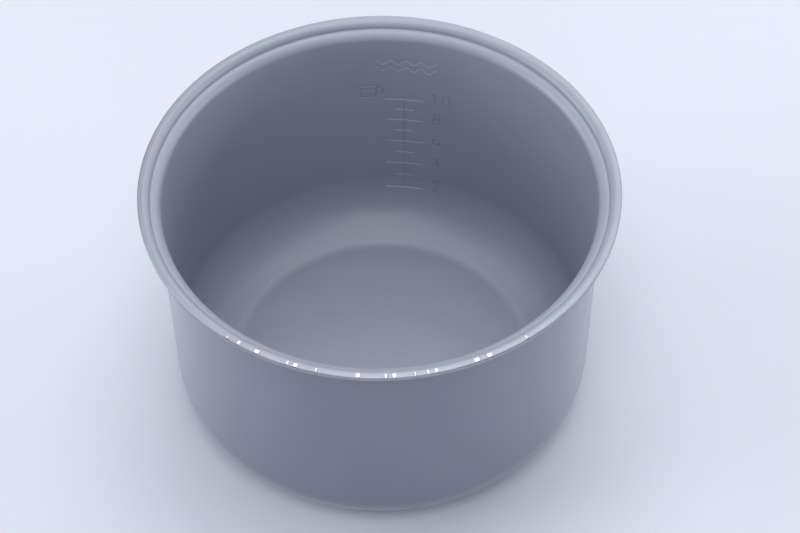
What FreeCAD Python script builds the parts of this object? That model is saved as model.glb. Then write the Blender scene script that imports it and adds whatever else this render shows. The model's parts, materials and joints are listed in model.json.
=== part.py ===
"""Removable cooking pot of a rice cooker: a drawn aluminium pot with a coating inside and outside.

Millimetres. +Z is up and the origin is the centre of the base contact face. The water scale is
sunk into the lining on the +Y side. Every outline is drawn in the half plane through the pot's
axis, with x as the radius and y as the height, and turned about the axis.
"""
import FreeCAD
import Part
import Sketcher
import math
import os

# Driving dimensions: name, value in millimetres (degrees for angles, a count for counts), meaning.
SIZES = (
    ("pot_height", 147.0, "base contact face to the top of the rim"),
    ("inner_radius", 109.0, "inside of the straight wall"),
    ("wall_sheet", 2.0, "wall, corner and floor, coatings included"),
    ("flange_sheet", 2.5, "rim flange, coatings included"),
    ("lining_skin", 0.3, "non-stick lining"),
    ("coating_skin", 0.3, "outer coating"),
    ("corner_round", 28.0, "inside corner between wall and floor"),
    ("cone_angle", 22.0, "slope of the corner's straight foot, between its round and the valley"),
    ("valley_radius", 79.5, "radius of the valley round the domed floor"),
    ("valley_round", 15.0, "soft bend of the valley"),
    ("dome_angle", 5.0, "slope of the domed floor where it meets the valley"),
    ("shoulder_round", 4.7, "inside bend from the wall to the lid ledge"),
    ("ledge_flat", 0.4, "flat of the lid ledge"),
    ("step_face", 0.8, "upright face between the lid ledge and the lip"),
    ("lip_round", 3.4, "inside bend from the step up to the rim flange"),
    ("lip_flat", 0.1, "coated flat on top of the flange"),
    ("bare_top", 2.4, "bare band on top of the rim, in from its edge"),
    ("bare_under", 1.0, "bare band under the rim, in from its edge"),
    ("edge_round", 0.5, "upper round of the trimmed rim edge"),
    ("lower_edge_round", 0.4, "lower round of the trimmed rim edge"),
    ("under_lip_round", 0.8, "outside bend under the flange"),
    ("step_round", 1.5, "outside bend at the foot of the step"),
    ("under_ledge_round", 3.2, "outside bend from the ledge to the wall"),
    ("bare_cone", 3.0, "bare metal on the corner's foot, out from the contact ring"),
    ("foot_round", 8.0, "soft edge from the corner's foot to the contact ring"),
    ("land_width", 11.0, "flat contact ring of the base"),
    ("base_rise", 3.0, "hollow under the base at its centre"),
    ("mark_count", 9, "marks of the water scale"),
    ("mark_top", 94.75, "height of the highest mark"),
    ("mark_pitch", 7.78, "drop from the highest mark to the next, before it grows"),
    ("mark_growth", 0.134, "growth of the drop, times the square of the mark's number"),
    ("mark_long", 20.0, "length of every second mark, from the highest down"),
    ("mark_short", 10.0, "length of the marks between them"),
    ("mark_stroke", 1.3, "height of a mark, which sinks slowly from above and is steep below"),
    ("line_stroke", 0.9, "width of the scale's upright line"),
    ("mark_depth", 0.2, "depth of the marks and the line in the lining"),
    ("scale_azimuth", 7.6, "turn of the scale from +Y towards +X"),
)
VALUES = {name: value for name, value, meaning in SIZES}
FULL_TURN = 360.0
# A sketch's own lines and points, by number: its level and upright axis, and its origin.
H_AXIS_INDEX = -1
V_AXIS_INDEX = -2
ORIGIN_INDEX = (H_AXIS_INDEX, 1)


class Length:
    """A length or an angle: its number, and the formula on the sheet's cells that gives it."""

    def __init__(self, number, formula):
        self.number = number
        self.formula = formula

    def joined(self, sign, other, number):
        return Length(number, "(%s %s %s)" % (self.formula, sign, other.formula))

    def __add__(self, other):
        return self.joined("+", other, self.number + other.number)

    def __sub__(self, other):
        return self.joined("-", other, self.number - other.number)

    def __mul__(self, other):
        return self.joined("*", other, self.number * other.number)

    def __truediv__(self, other):
        return self.joined("/", other, self.number / other.number)

    def limited(self, other):
        """The shorter of two lengths."""
        return Length(min(self.number, other.number), "min(%s; %s)" % (self.formula, other.formula))

    def root(self):
        return Length(math.sqrt(self.number), "sqrt(%s)" % self.formula)

    def sine(self):
        return Length(math.sin(math.radians(self.number)), "sin(%s * 1 deg)" % self.formula)

    def cosine(self):
        return Length(math.cos(math.radians(self.number)), "cos(%s * 1 deg)" % self.formula)

    def half_tangent(self):
        """Tangent of half the angle."""
        return (plain(1) - self.cosine()) / self.sine()


def size(name):
    """The sheet's cell of that name."""
    return Length(VALUES[name], "sizes." + name)


def plain(number):
    """A number that is no size of the pot, such as a half or the index of a mark."""
    return Length(number, repr(number))


ZERO = plain(0)


class Outline:
    """Corners joined by straight stretches and arcs of less than a half circle."""

    def __init__(self, x, y):
        self.corners = [(x, y)]
        self.arcs = []

    def line(self, x=None, y=None):
        """A straight stretch; a coordinate that is left out stays as it was."""
        last_x, last_y = self.corners[-1]
        self.corners.append((x or last_x, y or last_y))
        self.arcs.append(None)
        return self

    def arc(self, x, y, radius, side):
        """A round stretch whose centre lies to the left (1) or to the right (-1) of the way."""
        self.corners.append((x, y))
        self.arcs.append((radius, side))
        return self

    def backwards(self):
        turned = Outline(*self.corners[-1])
        turned.corners = self.corners[::-1]
        turned.arcs = [arc and (arc[0], -arc[1]) for arc in self.arcs[::-1]]
        return turned

    def then(self, other):
        """Go straight on to the other outline's first corner, and along it."""
        self.corners += other.corners
        self.arcs += [None] + other.arcs
        return self

    def draw(self, sketch):
        """Draw the closed outline and tie every corner and radius to the sheet."""
        first = sketch.GeometryCount
        starts = []
        ends = []
        arcs = self.arcs + [None]
        for index, arc in enumerate(arcs):
            start = self.corners[index]
            end = self.corners[(index + 1) % len(self.corners)]
            geometry, start_point, end_point = stretch(start, end, arc)
            place = sketch.addGeometry(geometry, False)
            starts.append((place, start_point))
            ends.append((place, end_point))
        for index, end in enumerate(ends):
            start = starts[(index + 1) % len(starts)]
            sketch.addConstraint(Sketcher.Constraint("Coincident", *end, *start))
        for index, corner in enumerate(self.corners):
            self.tie_corner(sketch, index, corner, starts[index], first)
        for index, arc in enumerate(arcs):
            if arc:
                rule = Sketcher.Constraint("Radius", starts[index][0], arc[0].number)
                tie(sketch, rule, "r%d" % (first + index), arc[0])

    def tie_corner(self, sketch, index, corner, point, first):
        """Hold one corner: by the stretch before it where that is level or upright, else by its place."""
        before = self.corners[index - 1]
        straight = index > 0 and self.arcs[index - 1] is None
        for axis, rule, held in ((0, "DistanceX", "Vertical"), (1, "DistanceY", "Horizontal")):
            length = corner[axis]
            if axis == 0 and length is ZERO:
                sketch.addConstraint(Sketcher.Constraint("PointOnObject", *point, V_AXIS_INDEX))
            elif straight and length.formula == before[axis].formula:
                sketch.addConstraint(Sketcher.Constraint(held, point[0] - 1))
            elif axis == 1 and length is ZERO:
                sketch.addConstraint(Sketcher.Constraint("PointOnObject", *point, H_AXIS_INDEX))
            else:
                place = Sketcher.Constraint(rule, *ORIGIN_INDEX, *point, length.number)
                tie(sketch, place, "xy"[axis] + str(first + index), length)


def tie(sketch, rule, name, length):
    """Add a dimension to a sketch and bind it to the sheet."""
    index = sketch.addConstraint(rule)
    sketch.renameConstraint(index, name)
    sketch.setExpression("Constraints." + name, length.formula)


def stretch(start, end, arc):
    """The line or arc between two corners, with the numbers of its points at the two ends."""
    here = FreeCAD.Vector(start[0].number, start[1].number, 0)
    there = FreeCAD.Vector(end[0].number, end[1].number, 0)
    if arc is None:
        return Part.LineSegment(here, there), 1, 2
    radius, side = arc
    chord = there - here
    left = FreeCAD.Vector(-chord.y, chord.x, 0).normalize()
    reach = math.sqrt(radius.number ** 2 - (chord.Length / 2) ** 2)
    centre = (here + there) / 2 + left * side * reach
    circle = Part.Circle(centre, FreeCAD.Vector(0, 0, 1), radius.number)
    from_angle = math.atan2(here.y - centre.y, here.x - centre.x)
    to_angle = math.atan2(there.y - centre.y, there.x - centre.x)
    if side > 0:
        return Part.ArcOfCircle(circle, from_angle, to_angle), 1, 2
    return Part.ArcOfCircle(circle, to_angle, from_angle), 2, 1


def dome_radius(edge, rise):
    """Radius of the ball whose cap has that edge radius and that rise."""
    return (edge * edge + rise * rise) / (rise + rise)


HEIGHT = size("pot_height")
WALL = size("inner_radius")
SHEET = size("wall_sheet")
FLANGE = size("flange_sheet")
SLOPE = size("cone_angle")
DOME = size("dome_angle")
VALLEY = size("valley_radius")
BEND = size("valley_round")
# The corner's round leaves its straight foot at least as long as the bare stretch of that foot.
CORNER_ROOM = (WALL - VALLEY - BEND * SLOPE.sine() - size("bare_cone")) / (plain(1) - SLOPE.sine())
CORNER = size("corner_round").limited(CORNER_ROOM)
# Heights and radii of the corner's and the valley's centres, and of the contact ring's outer edge.
BEND_HEIGHT = SHEET + BEND
CORNER_CENTRE = WALL - CORNER
FOOT_RUN = CORNER_CENTRE - VALLEY - BEND * SLOPE.half_tangent()
CORNER_HEIGHT = SHEET + (CORNER + FOOT_RUN * SLOPE.sine()) / SLOPE.cosine()
LAND_EDGE = VALLEY + (BEND + SHEET) * SLOPE.half_tangent()
SEAT_RADIUS = WALL + size("shoulder_round") + size("ledge_flat")
SEAT_DEPTH = size("lip_round") + size("step_face")
LIP_START = SEAT_RADIUS + size("lip_round")
BARE_START = LIP_START + size("lip_flat")
RIM = BARE_START + size("bare_top")
COATING_END = LAND_EDGE + size("bare_cone")
COATING_END_HEIGHT = size("bare_cone") * SLOPE.sine() / SLOPE.cosine()


def floor_line(skin):
    """The domed floor, the valley round it and the corner, sunk by a skin's thickness."""
    bend = BEND + skin
    corner = CORNER + skin
    line = Outline(ZERO, SHEET + VALLEY * DOME.half_tangent() - skin)
    line.arc(VALLEY - bend * DOME.sine(), BEND_HEIGHT - bend * DOME.cosine(), VALLEY / DOME.sine() - bend, -1)
    line.arc(VALLEY + bend * SLOPE.sine(), BEND_HEIGHT - bend * SLOPE.cosine(), bend, 1)
    line.line(x=CORNER_CENTRE + corner * SLOPE.sine(), y=CORNER_HEIGHT - corner * SLOPE.cosine())
    return line.arc(WALL + skin, CORNER_HEIGHT, corner, 1)


def inside_line(skin):
    """The pot's inside, from the middle of the floor to the bare rim, sunk by a skin's thickness."""
    seat = HEIGHT - SEAT_DEPTH - skin
    line = floor_line(skin)
    line.line(y=HEIGHT - SEAT_DEPTH - size("shoulder_round"))
    line.arc(WALL + size("shoulder_round"), seat, size("shoulder_round") - skin, -1)
    line.line(x=SEAT_RADIUS + skin)
    line.line(y=HEIGHT - size("lip_round"))
    line.arc(LIP_START, HEIGHT - skin, size("lip_round") - skin, -1)
    return line.line(x=BARE_START)


def outside_line(skin):
    """The pot's outside, from the bare rim down to the end of the coating, sunk by a skin's thickness."""
    under_rim = HEIGHT - FLANGE + skin
    under_ledge = HEIGHT - SEAT_DEPTH - SHEET + skin
    step = SEAT_RADIUS + FLANGE - skin
    wall = WALL + SHEET - skin
    upper = size("under_lip_round") + skin
    foot = size("step_round") - skin
    lower = size("under_ledge_round") + skin
    corner = CORNER + SHEET - skin
    line = Outline(RIM - size("bare_under"), under_rim)
    line.line(x=step + upper)
    line.arc(step, under_rim - upper, upper, 1)
    line.line(y=under_ledge + foot)
    line.arc(step - foot, under_ledge, foot, -1)
    line.line(x=wall + lower)
    line.arc(wall, under_ledge - lower, lower, 1)
    line.line(y=CORNER_HEIGHT)
    line.arc(CORNER_CENTRE + corner * SLOPE.sine(), CORNER_HEIGHT - corner * SLOPE.cosine(), corner, -1)
    return line.line(x=COATING_END - skin * SLOPE.sine(), y=COATING_END_HEIGHT + skin * SLOPE.cosine())


def rim_edge():
    """The bare trimmed edge of the rim, from its top to its underside."""
    upper = size("edge_round")
    lower = size("lower_edge_round")
    under = HEIGHT - FLANGE
    line = Outline(BARE_START, HEIGHT)
    line.line(x=RIM - upper)
    line.arc(RIM, HEIGHT - upper, upper, -1)
    line.line(y=under + lower)
    line.arc(RIM - lower, under, lower, -1)
    return line.line(x=RIM - size("bare_under"))


def base_line():
    """The bare base, from the end of the coating over the contact ring to its hollow middle."""
    hollow = LAND_EDGE - size("land_width")
    rise = size("base_rise")
    round_run = size("foot_round") * SLOPE.half_tangent()
    line = Outline(COATING_END, COATING_END_HEIGHT)
    line.line(x=LAND_EDGE + round_run * SLOPE.cosine(), y=round_run * SLOPE.sine())
    line.arc(LAND_EDGE - round_run, ZERO, size("foot_round"), -1)
    line.line(x=hollow)
    return line.arc(ZERO, rise, dome_radius(hollow, rise), 1)


def shell_outline():
    """Section of the metal, which is sunk below both coatings and bare at the rim and the base."""
    outline = inside_line(size("lining_skin")).then(rim_edge())
    return outline.then(outside_line(size("coating_skin"))).then(base_line())


def lining_outline():
    return inside_line(ZERO).then(inside_line(size("lining_skin")).backwards())


def coating_outline():
    return outside_line(ZERO).then(outside_line(size("coating_skin")).backwards())


def new_sketch(body, name, role):
    """An empty sketch on one of the body's own origin planes."""
    sketch = body.newObject("Sketcher::SketchObject", name)
    plane = [item for item in body.Origin.OriginFeatures if item.Role == role][0]
    sketch.AttachmentSupport = [(plane, "")]
    sketch.MapMode = "FlatFace"
    return sketch


def turned_body(doc, label, outline):
    """A body made by turning an outline about the pot's axis."""
    body = doc.addObject("PartDesign::Body", label)
    body.Label = label
    sketch = new_sketch(body, label + "_outline", "XZ_Plane")
    outline.draw(sketch)
    turn = body.newObject("PartDesign::Revolution", label + "_turned")
    turn.Profile = sketch
    turn.ReferenceAxis = (sketch, ["V_Axis"])
    turn.Angle = FULL_TURN
    return body


def wall_at(height, sink):
    """Radius, at a height, of the pot's inside wall and corner sunk by a depth."""
    if height.number >= CORNER_HEIGHT.number:
        return WALL + sink
    corner = CORNER + sink
    run = CORNER_HEIGHT - height
    return CORNER_CENTRE + (corner * corner - run * run).root()


def mark_height(index):
    """Height of a mark, counted from the highest."""
    step = plain(index)
    return size("mark_top") - size("mark_pitch") * step - size("mark_growth") * step * step


def line_outline():
    """Section of the upright line, which follows the wall from the lowest mark to the highest."""
    low = mark_height(VALUES["mark_count"] - 1)
    high = mark_height(0)
    depth = size("mark_depth")
    slot = Outline(wall_at(high, ZERO) - depth, high)
    slot.line(x=wall_at(low, ZERO) - depth, y=low)
    slot.line(x=wall_at(low, depth))
    if low.number < CORNER_HEIGHT.number:
        top = min(high, CORNER_HEIGHT, key=lambda length: length.number)
        slot.arc(wall_at(top, depth), top, CORNER + depth, 1)
    if high.number > CORNER_HEIGHT.number:
        slot.line(y=high)
    return slot


def mark_outline(index):
    """Section of a mark: it sinks from the wall down to its full depth, at its lower edge."""
    half = size("mark_stroke") / plain(2)
    low = mark_height(index) - half
    high = mark_height(index) + half
    depth = size("mark_depth")
    mark = Outline(wall_at(high, ZERO) - depth, high)
    mark.line(x=wall_at(low, ZERO) - depth, y=low)
    mark.line(x=wall_at(low, depth))
    return mark.line(x=wall_at(high, ZERO), y=high)


def cut_marks(doc, body, name, outlines, length):
    """Sink marks of one length into the lining, evenly to both sides of the scale's middle."""
    sketch = new_sketch(body, name + "_outline", "YZ_Plane")
    sketch.setExpression("AttachmentOffset.Rotation.Angle", "-sizes.scale_azimuth")
    sketch.AttachmentOffset = FreeCAD.Placement(
        FreeCAD.Vector(), FreeCAD.Rotation(FreeCAD.Vector(0, 1, 0), -VALUES["scale_azimuth"]))
    for outline in outlines:
        outline.draw(sketch)
    groove = body.newObject("PartDesign::Groove", name)
    groove.Profile = sketch
    groove.ReferenceAxis = (sketch, ["V_Axis"])
    groove.Midplane = True
    groove.setExpression("Angle", "180 / pi * %s / %s" % (length.formula, WALL.formula))
    full = body.Shape.Volume
    doc.recompute()
    if body.Shape.Volume >= full:
        raise RuntimeError(name + " cut nothing")


def scale_marks(doc, lining):
    """The recessed water scale: long and short marks in turn, on one upright line."""
    marks = [mark_outline(index) for index in range(VALUES["mark_count"])]
    cut_marks(doc, lining, "long_marks", marks[0::2], size("mark_long"))
    cut_marks(doc, lining, "short_marks", marks[1::2], size("mark_short"))
    cut_marks(doc, lining, "scale_line", [line_outline()], size("line_stroke"))


def size_sheet(doc):
    """The sheet of driving dimensions: name, value and meaning in one row each."""
    sheet = doc.addObject("Spreadsheet::Sheet", "sizes")
    for row, (name, value, meaning) in enumerate(SIZES, start=1):
        sheet.set("A%d" % row, name)
        sheet.set("B%d" % row, str(value))
        sheet.setAlias("B%d" % row, name)
        sheet.set("C%d" % row, meaning)
    doc.recompute()


def check(doc, bodies):
    """Stop if a feature failed or a piece is not one valid solid."""
    for item in doc.Objects:
        if "Invalid" in item.State or "Error" in item.State:
            raise RuntimeError("%s failed" % item.Name)
    for body in bodies:
        shape = body.Shape
        if shape.isNull() or not shape.isValid() or len(shape.Solids) != 1:
            raise RuntimeError("%s is not one valid solid" % body.Label)


def main():
    doc = FreeCAD.newDocument("cooking_pot")
    size_sheet(doc)
    shell = turned_body(doc, "pot_shell", shell_outline())
    lining = turned_body(doc, "nonstick_lining", lining_outline())
    coating = turned_body(doc, "outer_coating", coating_outline())
    doc.recompute()
    scale_marks(doc, lining)
    bodies = (shell, lining, coating)
    check(doc, bodies)
    os.makedirs("parts", exist_ok=True)
    for body in bodies:
        body.Shape.exportStep("parts/%s.step" % body.Label)
        print(body.Label, round(body.Shape.Volume), "cubic millimetres")


main()
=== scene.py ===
"""Looks of the rice cooker's inner pot: coated inside and out, bare at the rim edge and the base.

Metres, in the frame's axes: +Z up, base centre at the origin, the water scale on the far (+Y) wall.
Each piece is an outline of radius and height, in millimetres, turned about the pot's axis.
"""
import json
import math
import bpy
import numpy as np
from mathutils import Matrix, Vector
from mathutils.geometry import delaunay_2d_cdt


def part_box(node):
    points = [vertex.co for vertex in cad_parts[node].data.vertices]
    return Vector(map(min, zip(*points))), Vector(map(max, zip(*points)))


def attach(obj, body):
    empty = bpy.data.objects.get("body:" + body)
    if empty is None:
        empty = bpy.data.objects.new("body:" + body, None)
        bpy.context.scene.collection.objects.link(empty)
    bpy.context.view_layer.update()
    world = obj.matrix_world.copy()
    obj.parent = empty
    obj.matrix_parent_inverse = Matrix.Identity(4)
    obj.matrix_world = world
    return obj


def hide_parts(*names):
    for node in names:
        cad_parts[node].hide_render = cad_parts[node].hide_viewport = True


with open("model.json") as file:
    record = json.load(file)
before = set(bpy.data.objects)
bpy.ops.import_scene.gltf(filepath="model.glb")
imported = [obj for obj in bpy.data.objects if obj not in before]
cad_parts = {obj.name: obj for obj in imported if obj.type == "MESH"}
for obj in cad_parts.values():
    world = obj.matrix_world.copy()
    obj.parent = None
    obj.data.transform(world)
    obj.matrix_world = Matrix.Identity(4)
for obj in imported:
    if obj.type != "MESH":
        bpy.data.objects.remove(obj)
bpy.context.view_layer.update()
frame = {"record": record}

MM = 0.001

# The photograph's camera, worked out from the rim, the lid seat and the floor edge.
PHOTO_WIDTH_PX = 800
FOCAL_PX = 2000.0
SENSOR_MM = 36.0
CAMERA_PLACE = (0.0, -0.6628, 0.8866)
CAMERA_DOWN = math.radians(50.533)
CAMERA_RIGHT = math.radians(0.852)
CAMERA_ROLL = math.radians(-0.38)

# The pot's section in millimetres. It is the section of the solids, except that the outside corner is
# tighter and the lid seat 0.4 mm higher, because the photograph has them there.
WALL_SHEET = 2.0
FLANGE_SHEET = 2.5
SKIN = 0.3
CORNER_ROUND = 28.0
OUTER_CORNER = 25.0
CONE_TILT = math.radians(22.0)
VALLEY_RADIUS = 79.5
VALLEY_ROUND = 15.0
DOME_TILT = math.radians(5.0)
SHOULDER_ROUND = 5.0
LEDGE_FLAT = 0.1
STEP_FACE = 0.4
LIP_ROUND = 3.4
LIP_FLAT = 0.1
BARE_TOP = 2.4
BARE_UNDER = 1.0
EDGE_ROUND = 0.5
LOWER_EDGE_ROUND = 0.4
UNDER_LIP_ROUND = 0.8
STEP_ROUND = 1.5
UNDER_LEDGE_ROUND = 3.2
BARE_CONE = 3.0
FOOT_ROUND = 8.0
LAND_WIDTH = 11.0
BASE_RISE = 3.0

# How many straight stretches stand for each part of an outline, and for a turn about the axis.
TURN_STEPS = 288
DOME_STEPS = 22
VALLEY_STEPS = 12
CONE_STEPS = 3
CORNER_STEPS = 26
INNER_WALL_STEPS = 40
OUTER_WALL_STEPS = 24
LIP_STEPS = 12
UNDER_LIP_STEPS = 8
UNDER_LEDGE_STEPS = 10
EDGE_STEPS = 14
LOWER_EDGE_STEPS = 6
FOOT_STEPS = 6
LAND_STEPS = 4
HOLLOW_STEPS = 20
BOW_STEPS = 14
# Bends sharper than this angle show an edge, and points that are closer than this in millimetres are one.
SHARP_ANGLE = math.radians(40)
SAME_POINT = 0.00001

# The water scale in millimetres: across the wall from its upright line, and up from the base.
SCALE_AZIMUTH = math.radians(7.6)
MARK_COUNT = 9
MARK_TOP = 94.75
MARK_PITCH = 7.78
MARK_GROWTH = 0.134
MARK_LONG = 20.0
MARK_SHORT = 10.0
MARK_DEPTH = 0.25
NUMBER_LEFT = 16.3
NUMBER_RISE = -0.6
NUMBER_HEIGHT = 7.8
NUMBER_WIDTH = 3.9
NUMBER_STEP = 5.2
ONE_SHIFT = 1.2
WAVE_MIDDLE = (0.9, 121.0)
WAVE_LENGTH = 33.0
WAVE_SWING = 1.5
WAVE_GAP = 5.0
WAVE_CRESTS = 4
WAVE_STEPS = 60
CUP_MIDDLE = (-19.5, 100.8)
CUP_HEIGHT = 8.4
CUP_TOP = 10.0
CUP_FOOT = 7.0
# Parts of the cup sign as shares of half its top width and half its height, and its handle's ends in degrees.
CUP_LEVEL = (0.86, 0.3)
CUP_HANDLE = (0.86, 0.05)
CUP_HANDLE_REACH = (0.8, 0.55)
CUP_HANDLE_TURN = 75

# Half widths and slopes of the strokes in millimetres. A mark sinks slowly from above and comes out again
# steeply below. The signs and the upright line are plain grooves.
LINE_HALF = 0.55
STROKE_HALF = 0.5
SIGN_HALF = 0.7
STROKE_FLOOR = 0.3
STROKE_SLOPE = 0.6
PLAIN_SLOPE = 0.0
SLOPE_STEPS = 4
# Painted light on the strokes: above 0 it is a painted highlight, a pale line below the stroke's middle where
# its lower edge would catch light from above; below 0 it is painted shade, a dark line above the stroke where
# its upper edge would be shaded.
PAINTED_LIGHT_SHIFT = 0.3
PAINTED_LIGHT_REACH = (0.35, 0.75)
TICK_PAINTED_HIGHLIGHT = 1.0
LINE_PAINTED_SHADE = -0.35
SIGN_PAINTED_SHADE = -0.5
WAVE_PAINTED_HIGHLIGHT = 0.6
# The piece of wall that gets fine faces, how fine they are, and how far they reach round a stroke.
PATCH_SIDES = (-34.0, 30.0)
PATCH_HEIGHTS = (18.0, 131.0)
PATCH_MARGIN = 3.0
FINE_STEP = 0.25
FINE_REACH = 1.0
HULL_TRIANGLES = 0

# Colours, gloss and coats of the materials.
LINING_COLOUR = (0.366, 0.389, 0.456)
LINING_ROUGHNESS = 0.46
LINING_METALLIC = 0.15
COATING_COLOUR = (0.15, 0.159, 0.22)
COATING_ROUGHNESS = 0.32
COATING_CLEAR = 0.8
CLEAR_ROUGHNESS = 0.2
METAL_COLOUR = (0.35, 0.377, 0.424)
METAL_ROUGHNESS = 0.42
FLOOR_COLOUR = (0.765, 0.79, 0.86)
FLOOR_ROUGHNESS = (0.7, 0.78)
FLOOR_SHINE = 0.2

# Noise on the surfaces: features in a metre, and detail. A stretch is in metres for each radian.
FLAKES = (6000.0, 1.0)
CLOUDS = (45.0, 3.0)
WIPES = (700.0, 2.0)
WIPE_STRETCH = 0.02
PEEL = (2200.0, 1.0)
PEEL_DEPTH = 0.000006
RINGS = (4000.0, 3.0)
RING_STRETCH = 0.003
RING_DEPTH = 0.00001
FLOOR_CLOUDS = (12.0, 3.0)
# Most of a noise lies between these values.
NOISE_LOW = 0.3
NOISE_HIGH = 0.7
# How far the noise takes the brightness and the roughness.
FLAKE_SHADES = (0.95, 1.05)
CLOUD_SHADES = (0.985, 1.015)
RING_SHADES = (0.94, 1.06)
METAL_CLOUD_SHADES = (0.97, 1.03)
# How far the painted highlight below a stroke and the painted shade above it take the brightness.
PAINTED_LIGHT_STRENGTH = 0.24
CLOUD_GLOSS = 0.02
WIPE_GLOSS = 0.006
RING_GLOSS = 0.06
# Small dents in the bare edge: how closely they sit, how many there are, their slope, the share of the
# roughness that they keep, and the angle in radians from the front over which they end.
NICKS_PER_M = 300.0
NICK_RANGE = (0.62, 0.65)
NICK_SLOPE = 0.2
NICK_GLOSS = 0.4
NICK_SIDES = (0.62, 0.7)

# Soft white lamps that face the origin: name, place and size in metres, and radiance.
LAMPS = (
    ("overhead", (0.0, 0.3, 2.0), (1.4, 0.8), 3.4),
    ("front_high", (0.0, -0.9, 1.9), (0.9, 0.6), 4.2),
    ("front", (0.0, -2.4, 0.75), (1.8, 1.35), 1.2),
    ("left", (-2.4, 0.0, 0.68), (1.8, 1.35), 3.1),
    ("left_high", (-1.4, 0.0, 1.17), (1.1, 0.9), 0.7),
    ("right", (2.4, 0.0, 0.45), (1.8, 0.83), 3.7),
    ("right_back", (1.1, 0.9, 1.0), (0.9, 0.8), 1.5),
    ("back", (0.15, 1.3, 1.45), (1.0, 1.2), 1.65),
)
WORLD_COLOUR = (0.9, 1.0, 1.15)
WORLD_STRENGTH = 0.27
# Half of the floor's side in metres.
FLOOR_REACH = 3.0

# Sizes in millimetres that follow from the frame and the values above.
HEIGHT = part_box("pot_shell")[1][2] / MM
OUTER_WALL = [m for m in frame["record"]["mounts"] if m["name"] == "outer_wall"][0]["dims"]["r_mm"]
INNER_WALL = OUTER_WALL - WALL_SHEET
CORNER_CENTRE = INNER_WALL - CORNER_ROUND
SEAT_RADIUS = INNER_WALL + SHOULDER_ROUND + LEDGE_FLAT
SEAT_HEIGHT = HEIGHT - LIP_ROUND - STEP_FACE
LIP_START = SEAT_RADIUS + LIP_ROUND
BARE_START = LIP_START + LIP_FLAT
RIM = BARE_START + BARE_TOP
CONE_RUN = CORNER_CENTRE - VALLEY_RADIUS + (CORNER_ROUND - VALLEY_ROUND) * math.sin(CONE_TILT)
CORNER_HEIGHT = (WALL_SHEET + VALLEY_ROUND + (CORNER_ROUND - VALLEY_ROUND) * math.cos(CONE_TILT)
                 + CONE_RUN * math.tan(CONE_TILT))
LAND_EDGE = VALLEY_RADIUS + (VALLEY_ROUND + WALL_SHEET) * math.tan(CONE_TILT / 2)
OUTER_CENTRE = OUTER_WALL - OUTER_CORNER
OUTER_CORNER_HEIGHT = ((OUTER_CENTRE - LAND_EDGE) * math.tan(CONE_TILT)
                       + OUTER_CORNER / math.cos(CONE_TILT))
COATING_END = (LAND_EDGE + BARE_CONE, BARE_CONE * math.tan(CONE_TILT))
# Where a round meets the sloped foot, as an angle on that round.
CONE_ANGLE = -90 + math.degrees(CONE_TILT)


def arc(centre, radius, start, end, steps):
    """Points on an arc, from one angle to another in degrees, both ends included."""
    return bow(centre, (radius, radius), start, end, steps)


def bow(middle, reach, start, end, steps=BOW_STEPS):
    """Points on an oval arc, from one angle to another in degrees, both ends included."""
    angles = np.radians(np.linspace(start, end, steps + 1))
    return [(middle[0] + reach[0] * math.cos(a), middle[1] + reach[1] * math.sin(a)) for a in angles]


def oval(middle, reach):
    """Points on a closed oval, each of them once."""
    return bow(middle, reach, 0, 360, 2 * BOW_STEPS)[:-1]


def run(start, end, steps):
    """Points on a straight run, without its two ends."""
    return [tuple(p) for p in np.linspace(start, end, steps + 1)[1:-1]]


def floor_line(skin):
    """The domed floor and the soft valley round it, from the axis outwards."""
    valley = VALLEY_ROUND + skin
    dome = VALLEY_RADIUS / math.sin(DOME_TILT) - valley
    edge = math.degrees(DOME_TILT)
    top = WALL_SHEET - skin + (valley + dome) * (1 - math.cos(DOME_TILT))
    line = arc((0.0, top - dome), dome, 90, 90 - edge, DOME_STEPS)[:-1]
    middle = (VALLEY_RADIUS, WALL_SHEET + VALLEY_ROUND)
    return line + arc(middle, valley, -90 - edge, CONE_ANGLE, VALLEY_STEPS)


def inside_line(skin):
    """The pot's inside from the middle of the floor to the bare rim, sunk by a skin's thickness."""
    shoulder = (INNER_WALL + SHOULDER_ROUND, SEAT_HEIGHT - SHOULDER_ROUND)
    lip = (LIP_START, HEIGHT - LIP_ROUND)
    corner = (CORNER_CENTRE, CORNER_HEIGHT)
    wall = INNER_WALL + skin
    line = floor_line(skin)
    foot = arc(corner, CORNER_ROUND + skin, CONE_ANGLE, 0, CORNER_STEPS)
    line += run(line[-1], foot[0], CONE_STEPS)
    line += foot
    line += run((wall, CORNER_HEIGHT), (wall, shoulder[1]), INNER_WALL_STEPS)
    line += arc(shoulder, SHOULDER_ROUND - skin, 180, 90, LIP_STEPS)
    line += [(SEAT_RADIUS + skin, SEAT_HEIGHT - skin)]
    line += arc(lip, LIP_ROUND - skin, 180, 90, LIP_STEPS)
    return line + [(BARE_START, HEIGHT - skin)]


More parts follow.
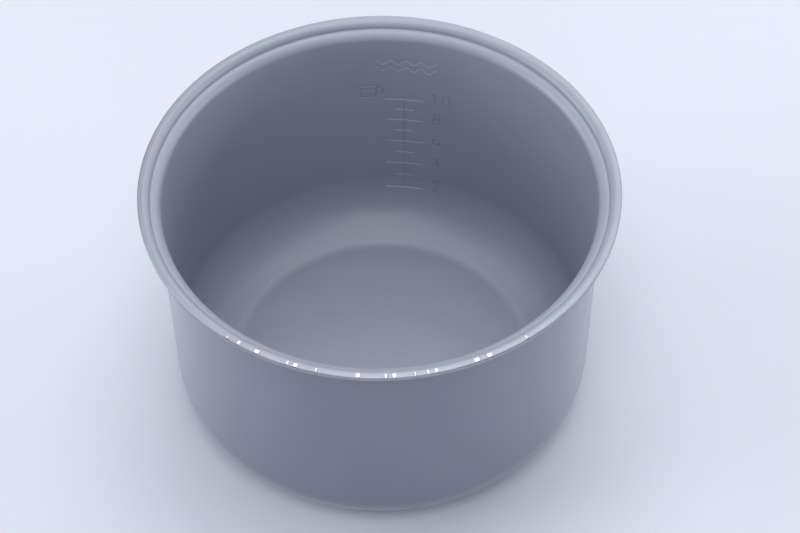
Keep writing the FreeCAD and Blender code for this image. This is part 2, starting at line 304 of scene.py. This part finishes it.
def outside_line(skin):
    """The pot's outside from the bare rim to the end of the coating, sunk by a skin's thickness."""
    under_rim = HEIGHT - FLANGE_SHEET + skin
    under_ledge = SEAT_HEIGHT - WALL_SHEET + skin
    step = SEAT_RADIUS + FLANGE_SHEET - skin
    wall = OUTER_WALL - skin
    upper = UNDER_LIP_ROUND + skin
    foot = STEP_ROUND - skin
    lower = UNDER_LEDGE_ROUND + skin
    middle = (OUTER_CENTRE, OUTER_CORNER_HEIGHT)
    line = [(RIM - BARE_UNDER, under_rim)]
    line += arc((step + upper, under_rim - upper), upper, 90, 180, UNDER_LIP_STEPS)
    line += arc((step - foot, under_ledge + foot), foot, 0, -90, UNDER_LIP_STEPS)
    line += arc((wall + lower, under_ledge - lower), lower, 90, 180, UNDER_LEDGE_STEPS)
    line += run((wall, under_ledge - lower), (wall, OUTER_CORNER_HEIGHT), OUTER_WALL_STEPS)
    line += arc(middle, OUTER_CORNER - skin, 0, CONE_ANGLE, CORNER_STEPS)
    end = (COATING_END[0] - skin * math.sin(CONE_TILT), COATING_END[1] + skin * math.cos(CONE_TILT))
    return line + run(line[-1], end, CONE_STEPS) + [end]


def rim_edge():
    """The bare trimmed edge of the rim, from its top to its underside."""
    under = HEIGHT - FLANGE_SHEET
    upper = (RIM - EDGE_ROUND, HEIGHT - EDGE_ROUND)
    lower = (RIM - LOWER_EDGE_ROUND, under + LOWER_EDGE_ROUND)
    line = [(BARE_START, HEIGHT)]
    line += arc(upper, EDGE_ROUND, 90, 0, EDGE_STEPS)
    line += arc(lower, LOWER_EDGE_ROUND, 0, -90, LOWER_EDGE_STEPS)
    return line + [(RIM - BARE_UNDER, under)]


def base_line():
    """The bare base from the end of the coating over the contact ring to its hollow middle."""
    hollow = LAND_EDGE - LAND_WIDTH
    foot = LAND_EDGE - FOOT_ROUND * math.tan(CONE_TILT / 2)
    line = [COATING_END] + arc((foot, FOOT_ROUND), FOOT_ROUND, CONE_ANGLE, -90, FOOT_STEPS)
    line += run((foot, 0.0), (hollow, 0.0), LAND_STEPS)
    radius = (hollow * hollow + BASE_RISE * BASE_RISE) / (2 * BASE_RISE)
    radii = np.linspace(hollow, 0.0, HOLLOW_STEPS + 1)
    return line + [(r, BASE_RISE - radius + math.sqrt(radius * radius - r * r)) for r in radii]


# Plain numerals as strokes in a box one wide and one high: points, and whether the stroke closes.
NUMERALS = {
    "0": [(oval((0.5, 0.5), (0.5, 0.5)), True)],
    "1": [([(0.15, 0.8), (0.5, 1.0), (0.5, 0.0)], False)],
    "2": [(bow((0.5, 0.7), (0.5, 0.3), 165, -30) + [(0.0, 0.0), (1.0, 0.0)], False)],
    "4": [([(0.72, 0.0), (0.72, 1.0), (0.0, 0.3), (1.0, 0.3)], False)],
    "6": [(bow((0.6, 0.3), (0.6, 0.7), 75, 180, steps=10), False), (oval((0.5, 0.3), (0.5, 0.3)), True)],
    "8": [(oval((0.5, 0.76), (0.42, 0.24)), True), (oval((0.5, 0.26), (0.5, 0.26)), True)],
}


def mark_height(step):
    """The height of a mark, counted from the top one."""
    return MARK_TOP - MARK_PITCH * step - MARK_GROWTH * step * step


def sign_stroke(points, closed, wear=SIGN_PAINTED_SHADE):
    """A stroke of a numeral or a sign: its points, whether it closes, half its width, slope and painted
    light.
    """
    return (points, closed, SIGN_HALF, PLAIN_SLOPE, wear)


def number_strokes(step):
    """The strokes of the numeral beside a long mark: 10 at the top, then 8, 6, 4 and 2."""
    strokes = []
    foot = mark_height(step) + NUMBER_RISE
    for place, digit in enumerate(str(MARK_COUNT + 1 - step)):
        left = NUMBER_LEFT + place * NUMBER_STEP - (ONE_SHIFT if digit == "1" else 0.0)
        for points, closed in NUMERALS[digit]:
            placed = [(left + NUMBER_WIDTH * x, foot + NUMBER_HEIGHT * y) for x, y in points]
            strokes.append(sign_stroke(placed, closed))
    return strokes


def wave_strokes():
    """Two wavy lines that stand for water."""
    along = np.linspace(-0.5, 0.5, WAVE_STEPS + 1)
    swing = WAVE_SWING * np.cos(along * WAVE_CRESTS * 2 * math.pi)
    middle, height = WAVE_MIDDLE
    across = middle + along * WAVE_LENGTH
    levels = (height - WAVE_GAP / 2, height + WAVE_GAP / 2)
    # The waves get a painted highlight below them.
    return [sign_stroke(list(zip(across, level + swing)), False, WAVE_PAINTED_HIGHLIGHT) for level in levels]


def cup_strokes():
    """A plain measuring cup with a handle and a level line."""
    middle, height = CUP_MIDDLE
    top = CUP_TOP / 2
    foot = CUP_FOOT / 2
    half = CUP_HEIGHT / 2
    cup = [(-top, half), (-foot, -half), (foot, -half), (top, half)]
    level = [(side * CUP_LEVEL[0] * top, CUP_LEVEL[1] * half) for side in (-1, 1)]
    reach = (CUP_HANDLE_REACH[0] * top, CUP_HANDLE_REACH[1] * half)
    handle = bow((CUP_HANDLE[0] * top, CUP_HANDLE[1] * half), reach, CUP_HANDLE_TURN, -CUP_HANDLE_TURN)
    strokes = ((cup, True), (level, False), (handle, False))
    return [sign_stroke([(middle + x, height + y) for x, y in points], closed)
            for points, closed in strokes]


def scale_strokes():
    """Every sunk stroke on the wall: the upright line, the marks, the numerals and the two signs."""
    upright = [(0.0, mark_height(MARK_COUNT - 1)), (0.0, mark_height(0))]
    # The upright line gets painted shade along it, and each mark a painted highlight below it.
    strokes = [(upright, False, LINE_HALF, PLAIN_SLOPE, LINE_PAINTED_SHADE)]
    for step in range(MARK_COUNT):
        reach = (MARK_SHORT if step % 2 else MARK_LONG) / 2
        height = mark_height(step) + PAINTED_LIGHT_SHIFT
        mark = [(-reach, height), (reach, height)]
        strokes.append((mark, False, STROKE_HALF, STROKE_SLOPE, TICK_PAINTED_HIGHLIGHT))
        if step % 2 == 0:
            strokes += number_strokes(step)
    return strokes + wave_strokes() + cup_strokes()


def stroke_distance(points, path, closed):
    """How far each point is from a stroke's middle line."""
    nearest = np.full(len(points), np.inf)
    path = np.array(path)
    ends = np.roll(path, -1, axis=0) if closed else path[1:]
    starts = path if closed else path[:-1]
    for start, end in zip(starts, ends):
        way = end - start
        along = np.clip((points - start) @ way / (way @ way), 0.0, 1.0)
        nearest = np.minimum(nearest, np.linalg.norm(points - start - along[:, None] * way, axis=1))
    return nearest


def ease(share):
    """A share from 0 to 1 that starts and ends softly."""
    share = np.clip(share, 0.0, 1.0)
    return share * share * (3 - 2 * share)


def sunk(points, strokes):
    """Each point's share of a mark's depth, its painted light, and how far outside the nearest stroke it is.
    """
    depth = np.zeros(len(points))
    painted_shading = np.zeros(len(points))
    clear = np.full(len(points), np.inf)
    for path, closed, half, slope, wear in strokes:
        low = np.min(path, axis=0) - FINE_REACH - half - PAINTED_LIGHT_SHIFT
        high = np.max(path, axis=0) + FINE_REACH + half + slope
        near = np.nonzero(((points > low) & (points < high)).all(axis=1))[0]
        for step in range(SLOPE_STEPS + 1 if slope else 1):
            share = step / SLOPE_STEPS
            away = stroke_distance(points[near] - (0.0, share * slope), path, closed)
            inside = ease((half - away) / (half - half * STROKE_FLOOR))
            depth[near] = np.maximum(depth[near], ease(1 - share) * inside)
            clear[near] = np.minimum(clear[near], away - half)
        # Painted light: a pale painted highlight below the stroke, or a dark painted shade above it.
        away = stroke_distance(points[near] + (0.0, math.copysign(PAINTED_LIGHT_SHIFT, wear)), path, closed)
        painted_tone = wear * ease((PAINTED_LIGHT_REACH[1] - away) / (PAINTED_LIGHT_REACH[1] - PAINTED_LIGHT_REACH[0]))
        painted_shading[near] = np.where(np.abs(painted_tone) > np.abs(painted_shading[near]), painted_tone, painted_shading[near])
    return depth, painted_shading, clear


def wall_point(across, height, depth):
    """The place of a point on the inner wall or corner, sunk into it."""
    drop = max(CORNER_HEIGHT - height, 0.0)
    out = math.sqrt(CORNER_ROUND ** 2 - drop ** 2) / CORNER_ROUND
    radius = CORNER_CENTRE + (CORNER_ROUND + depth) * out
    azimuth = SCALE_AZIMUTH + across / INNER_WALL
    return (radius * math.sin(azimuth), radius * math.cos(azimuth), height - depth * drop / CORNER_ROUND)


def fine_points(strokes):
    """Closely set points on the wall, wherever a stroke is near."""
    spans = [(low + PATCH_MARGIN, high - PATCH_MARGIN) for low, high in (PATCH_SIDES, PATCH_HEIGHTS)]
    across, heights = [np.arange(*span, FINE_STEP) for span in spans]
    points = np.stack(np.meshgrid(across, heights), axis=2).reshape(-1, 2)
    return points[sunk(points, strokes)[2] < FINE_REACH]


def scale_window(rows, across):
    """The rows and columns of the wall's seen side that lie round the water scale."""
    columns = np.nonzero((across > PATCH_SIDES[0]) & (across < PATCH_SIDES[1]))[0]
    seen = np.arange(len(rows)) < len(rows) // 2
    upright = (rows[:, 1] > PATCH_HEIGHTS[0]) & (rows[:, 1] < PATCH_HEIGHTS[1])
    return np.nonzero(seen & upright)[0], columns


def sink_corners(made, known, count, strokes):
    """Each fine corner's place in the mesh, and the points and painted light of those that the mesh hasn't
    yet.
    """
    corners = np.array([tuple(p) for p in made[0]])
    depths, painted_shading = sunk(corners, strokes)[:2]
    index = []
    added = []
    wear = []
    for corner, depth, painted_tone, origins in zip(corners, MARK_DEPTH * depths, painted_shading, made[3]):
        old = [known[k] for k in origins if k < len(known)]
        index.append(old[0] if old else count + len(added))
        if not old:
            added.append(wall_point(corner[0], corner[1], depth))
            wear.append(float(painted_tone))
    return index, added, wear


def stamp_scale(rows, azimuths, grid, points, quads):
    """Swaps the wall's plain faces round the water scale for fine faces that follow the sunk strokes."""
    strokes = scale_strokes()
    across = (azimuths - SCALE_AZIMUTH) * INNER_WALL
    levels, columns = scale_window(rows, across)
    window = grid[levels[0]:levels[-1] + 1, columns[0]:columns[-1] + 1]
    flat = np.array([(across[c], rows[r, 1]) for r in levels for c in columns])
    edge = np.ones(window.shape, bool)
    edge[1:-1, 1:-1] = False
    keep = edge.ravel() | (sunk(flat, strokes)[2] > FINE_REACH + FINE_STEP)
    known = window.ravel()[keep].tolist()
    places = np.vstack([flat[keep], fine_points(strokes)])
    made = delaunay_2d_cdt([Vector(p) for p in places], [], [], HULL_TRIANGLES, SAME_POINT)
    index, added, wear = sink_corners(made, known, len(points), strokes)
    inner = set(window[:-1, :-1].ravel().tolist())
    faces = [quad for quad in quads if quad[0] not in inner]
    faces += [[index[k] for k in face] for face in made[2]]
    return np.vstack([points, added]), faces, [0.0] * len(points) + wear


def band_faces(rings):
    """Four-sided faces between each ring of points and the next."""
    here = rings[:-1]
    there = rings[1:]
    corners = (here, np.roll(here, -1, 1), np.roll(there, -1, 1), there)
    return np.stack(corners, axis=2).reshape(-1, 4).tolist()


def close_poles(outline, grid, points, faces):
    """Adds the outline's two ends on the axis, with a fan of faces round each."""
    first = len(points)
    points = np.vstack([points, (0, 0, outline[0, 1]), (0, 0, outline[-1, 1])])
    for pole, ring, order in ((first, grid[0], -1), (first + 1, grid[-1], 1)):
        pairs = zip(ring.tolist(), np.roll(ring, -1).tolist())
        faces += [(pole, b, a)[::order] for a, b in pairs]
    return points, faces


def add_piece(name, points, faces, wear):
    """A smooth mesh from points in millimetres, with the painted light at its first points where there is
    any.
    """
    mesh = bpy.data.meshes.new(name)
    mesh.from_pydata((points * MM).tolist(), [], faces)
    mesh.polygons.foreach_set("use_smooth", [True] * len(mesh.polygons))
    mesh.set_sharp_from_angle(angle=SHARP_ANGLE)
    if wear:
        # The strokes' painted highlight and painted shade, as a value at each point.
        painted_shading = mesh.attributes.new("wear", "FLOAT", "POINT")
        painted_shading.data.foreach_set("value", wear + [0.0] * (len(mesh.vertices) - len(wear)))
    mesh.validate()
    piece = bpy.data.objects.new(name, mesh)
    bpy.context.scene.collection.objects.link(piece)
    return piece


def turn(name, outline, stamp=None):
    """A closed piece: a closed outline, or one that starts and ends on the axis, turned about Z."""
    outline = np.array(outline)
    azimuths = np.linspace(-math.pi, math.pi, TURN_STEPS, endpoint=False)
    on_axis = outline[0, 0] < SAME_POINT
    rows = outline[1:-1] if on_axis else outline
    turned = [(r * np.sin(azimuths), r * np.cos(azimuths), np.full(TURN_STEPS, z)) for r, z in rows]
    points = np.array(turned).transpose(0, 2, 1).reshape(-1, 3)
    grid = np.arange(len(points)).reshape(len(rows), TURN_STEPS)
    faces = band_faces(grid if on_axis else np.vstack([grid, grid[:1]]))
    wear = []
    if stamp:
        points, faces, wear = stamp(rows, azimuths, grid, points, faces)
    if on_axis:
        points, faces = close_poles(outline, grid, points, faces)
    return add_piece(name, points, faces, wear)


class Look:
    """A material whose nodes are added one by one, over the piece's own coordinates in metres."""

    def __init__(self, name):
        self.material = bpy.data.materials.new(name)
        self.material.use_nodes = True
        self.nodes = self.material.node_tree.nodes
        self.shader = self.nodes["Principled BSDF"]
        self.place = self.nodes.new("ShaderNodeTexCoord").outputs["Object"]

    def link(self, source, socket):
        """Feeds one socket from another."""
        self.material.node_tree.links.new(source, socket)

    def noise(self, scale, detail, place=None):
        """Noise with about so many features in a metre."""
        node = self.nodes.new("ShaderNodeTexNoise")
        node.inputs["Scale"].default_value = scale
        node.inputs["Detail"].default_value = detail
        self.link(place or self.place, node.inputs["Vector"])
        return node.outputs["Fac"]

    def noise_along(self, way, scale):
        """Plain noise along one value in metres."""
        node = self.nodes.new("ShaderNodeTexNoise")
        node.noise_dimensions = "1D"
        node.inputs["Scale"].default_value = scale
        node.inputs["Detail"].default_value = 0.0
        self.link(way, node.inputs["W"])
        return node.outputs["Fac"]

    def carried(self, name):
        """A value that the mesh carries at its points, or 0 where it has none of that name."""
        node = self.nodes.new("ShaderNodeAttribute")
        node.attribute_name = name
        return node.outputs["Fac"]

    def between(self, share, low, high, start=NOISE_LOW, end=NOISE_HIGH):
        """A value that goes from low to high as the share goes from start to end."""
        node = self.nodes.new("ShaderNodeMapRange")
        self.link(share, node.inputs["Value"])
        for name, value in (("From Min", start), ("From Max", end), ("To Min", low), ("To Max", high)):
            node.inputs[name].default_value = value
        return node.outputs["Result"]

    def maths(self, kind, *values):
        """One step of arithmetic on values that are sockets or numbers."""
        node = self.nodes.new("ShaderNodeMath")
        node.operation = kind
        for value, socket in zip(values, node.inputs):
            if isinstance(value, (int, float)):
                socket.default_value = value
            else:
                self.link(value, socket)
        return node.outputs["Value"]

    def plus(self, first, second):
        """The sum of two values."""
        return self.maths("ADD", first, second)

    def times(self, first, second):
        """The product of two values."""
        return self.maths("MULTIPLY", first, second)

    def polar(self):
        """The radius from the pot's axis, the angle about it from the front, and the height."""
        split = self.nodes.new("ShaderNodeSeparateXYZ")
        self.link(self.place, split.inputs["Vector"])
        x, y, z = split.outputs
        square = self.plus(self.times(x, x), self.times(y, y))
        angle = self.maths("ARCTAN2", x, self.times(y, -1.0))
        return self.maths("POWER", square, 0.5), angle, z

    def around(self, stretch):
        """Coordinates round the pot's axis: radius, the angle times a stretch in metres, and height."""
        radius, angle, height = self.polar()
        joined = self.nodes.new("ShaderNodeCombineXYZ")
        self.link(radius, joined.inputs["X"])
        self.link(self.times(angle, stretch), joined.inputs["Y"])
        self.link(height, joined.inputs["Z"])
        return joined.outputs["Vector"]

    def colour(self, colour, brightness):
        """The base colour, made brighter or darker by a value."""
        node = self.nodes.new("ShaderNodeHueSaturation")
        node.inputs["Color"].default_value = (*colour, 1.0)
        self.link(brightness, node.inputs["Value"])
        self.link(node.outputs["Color"], self.shader.inputs["Base Color"])

    def relief(self, height, depth=1.0):
        """Bump from a height, with the depth in metres of a height of 1."""
        node = self.nodes.new("ShaderNodeBump")
        node.inputs["Strength"].default_value = 1.0
        node.inputs["Distance"].default_value = depth
        self.link(height, node.inputs["Height"])
        self.link(node.outputs["Normal"], self.shader.inputs["Normal"])


def satin_look(name, colour, roughness):
    """A baked satin coating: fine flakes, faint clouds, uneven gloss, soft orange peel, and painted
    highlights and painted shade along the strokes.
    """
    look = Look(name)
    flakes = look.noise(*FLAKES)
    clouds = look.noise(*CLOUDS)
    wipes = look.noise(*WIPES, look.around(WIPE_STRETCH))
    shade = look.times(look.between(flakes, *FLAKE_SHADES), look.between(clouds, *CLOUD_SHADES))
    # Painted light: the colour is made paler below the strokes as a painted highlight and darker above them
    # as painted shade.
    wear = look.between(look.carried("wear"), 1.0 - PAINTED_LIGHT_STRENGTH, 1.0 + PAINTED_LIGHT_STRENGTH, -1.0, 1.0)
    look.colour(colour, look.times(shade, wear))
    gloss = look.between(clouds, roughness - CLOUD_GLOSS, roughness + CLOUD_GLOSS)
    gloss = look.plus(gloss, look.between(wipes, -WIPE_GLOSS, WIPE_GLOSS))
    look.link(gloss, look.shader.inputs["Roughness"])
    look.relief(look.noise(*PEEL), PEEL_DEPTH)
    return look


def lining_look(name):
    """The non-stick lining, with a little metal in its pigment."""
    look = satin_look(name, LINING_COLOUR, LINING_ROUGHNESS)
    look.shader.inputs["Metallic"].default_value = LINING_METALLIC
    return look.material


def outside_look(name):
    """The outer coating, under a thin clear coat that shines at its sides."""
    look = satin_look(name, COATING_COLOUR, COATING_ROUGHNESS)
    look.shader.inputs["Coat Weight"].default_value = COATING_CLEAR
    look.shader.inputs["Coat Roughness"].default_value = CLEAR_ROUGHNESS
    return look.material


def rim_nicks(look):
    """Where the front of the bare rim is dented, from 0 to 1, and the dents' height, in metres below 0."""
    radius, angle, height = look.polar()
    nicks = look.noise_along(look.times(angle, RIM * MM), NICKS_PER_M)
    front = look.between(look.maths("ABSOLUTE", angle), 1.0, 0.0, *NICK_SIDES)
    on_rim = look.maths("GREATER_THAN", height, HEIGHT * MM / 2)
    nicked = look.times(look.between(nicks, 0.0, 1.0, *NICK_RANGE), front)
    nicked = look.times(nicked, on_rim)
    drop = look.times(look.plus(radius, -BARE_START * MM), -NICK_SLOPE)
    return nicked, look.times(drop, nicked)


def metal_look(name):
    """Bare aluminium, turned on a lathe: fine rings that differ in tone, gloss and height, and dents."""
    look = Look(name)
    rings = look.noise(*RINGS, look.around(RING_STRETCH))
    clouds = look.noise(*CLOUDS)
    shade = look.times(look.between(rings, *RING_SHADES), look.between(clouds, *METAL_CLOUD_SHADES))
    look.colour(METAL_COLOUR, shade)
    nicked, dents = rim_nicks(look)
    gloss = look.between(rings, METAL_ROUGHNESS - RING_GLOSS, METAL_ROUGHNESS + RING_GLOSS)
    gloss = look.times(gloss, look.between(nicked, 1.0, NICK_GLOSS, 0.0, 1.0))
    look.link(gloss, look.shader.inputs["Roughness"])
    look.shader.inputs["Metallic"].default_value = 1.0
    look.relief(look.plus(look.times(rings, RING_DEPTH), dents))
    return look.material


def floor_look():
    """A plain pale table top with a faint unevenness of its gloss."""
    look = Look("floor")
    look.shader.inputs["Base Color"].default_value = (*FLOOR_COLOUR, 1.0)
    gloss = look.between(look.noise(*FLOOR_CLOUDS), *FLOOR_ROUGHNESS)
    look.link(gloss, look.shader.inputs["Roughness"])
    look.shader.inputs["Specular IOR Level"].default_value = FLOOR_SHINE
    return look.material


def add_camera():
    """The photograph's camera: turned right, tilted down and rolled about its own axis."""
    data = bpy.data.cameras.new("camera")
    data.sensor_width = SENSOR_MM
    data.lens = FOCAL_PX * SENSOR_MM / PHOTO_WIDTH_PX
    camera = bpy.data.objects.new("camera", data)
    turn_right = Matrix.Rotation(-CAMERA_RIGHT, 4, "Z")
    look_down = Matrix.Rotation(math.radians(90) - CAMERA_DOWN, 4, "X")
    roll = Matrix.Rotation(CAMERA_ROLL, 4, "Z")
    camera.matrix_world = Matrix.Translation(CAMERA_PLACE) @ turn_right @ look_down @ roll
    bpy.context.scene.collection.objects.link(camera)
    bpy.context.scene.camera = camera


def add_floor():
    """A flat square under the pot."""
    mesh = bpy.data.meshes.new("floor")
    low = -FLOOR_REACH
    high = FLOOR_REACH
    corners = [(low, low, 0), (high, low, 0), (high, high, 0), (low, high, 0)]
    mesh.from_pydata(corners, [], [(0, 1, 2, 3)])
    floor = bpy.data.objects.new("floor", mesh)
    floor.data.materials.append(floor_look())
    bpy.context.scene.collection.objects.link(floor)


def add_lamp(name, place, size, radiance):
    """A soft rectangular lamp that faces the origin and isn't seen itself."""
    data = bpy.data.lights.new(name, "AREA")
    data.shape = "RECTANGLE"
    data.size = size[0]
    data.size_y = size[1]
    data.energy = radiance * math.pi * size[0] * size[1]
    lamp = bpy.data.objects.new(name, data)
    lamp.location = place
    lamp.rotation_euler = (-Vector(place)).to_track_quat("-Z", "Y").to_euler()
    lamp.visible_camera = False
    bpy.context.scene.collection.objects.link(lamp)


def add_world():
    """An even, faintly blue light from all round."""
    world = bpy.data.worlds.new("studio")
    world.use_nodes = True
    background = world.node_tree.nodes["Background"]
    background.inputs["Color"].default_value = (*WORLD_COLOUR, 1.0)
    background.inputs["Strength"].default_value = WORLD_STRENGTH
    bpy.context.scene.world = world


shell = turn("shell", inside_line(SKIN) + rim_edge() + outside_line(SKIN) + base_line())
lining = turn("lining", inside_line(0.0) + inside_line(SKIN)[::-1], stamp_scale)
coating = turn("coating", outside_line(0.0) + outside_line(SKIN)[::-1])
shell.data.materials.append(metal_look("bare_aluminium"))
lining.data.materials.append(lining_look("lining_grey"))
coating.data.materials.append(outside_look("coating_grey"))
for piece, node, slot in ((shell, "pot_shell", "bare_aluminium"), (lining, "nonstick_lining", "lining_grey"),
                          (coating, "outer_coating", "coating_grey")):
    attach(piece, "root")
    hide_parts(node)
add_camera()
add_floor()
add_world()
for name, place, size, radiance in LAMPS:
    add_lamp(name, place, size, radiance)
bpy.context.scene.view_settings.view_transform = "Standard"
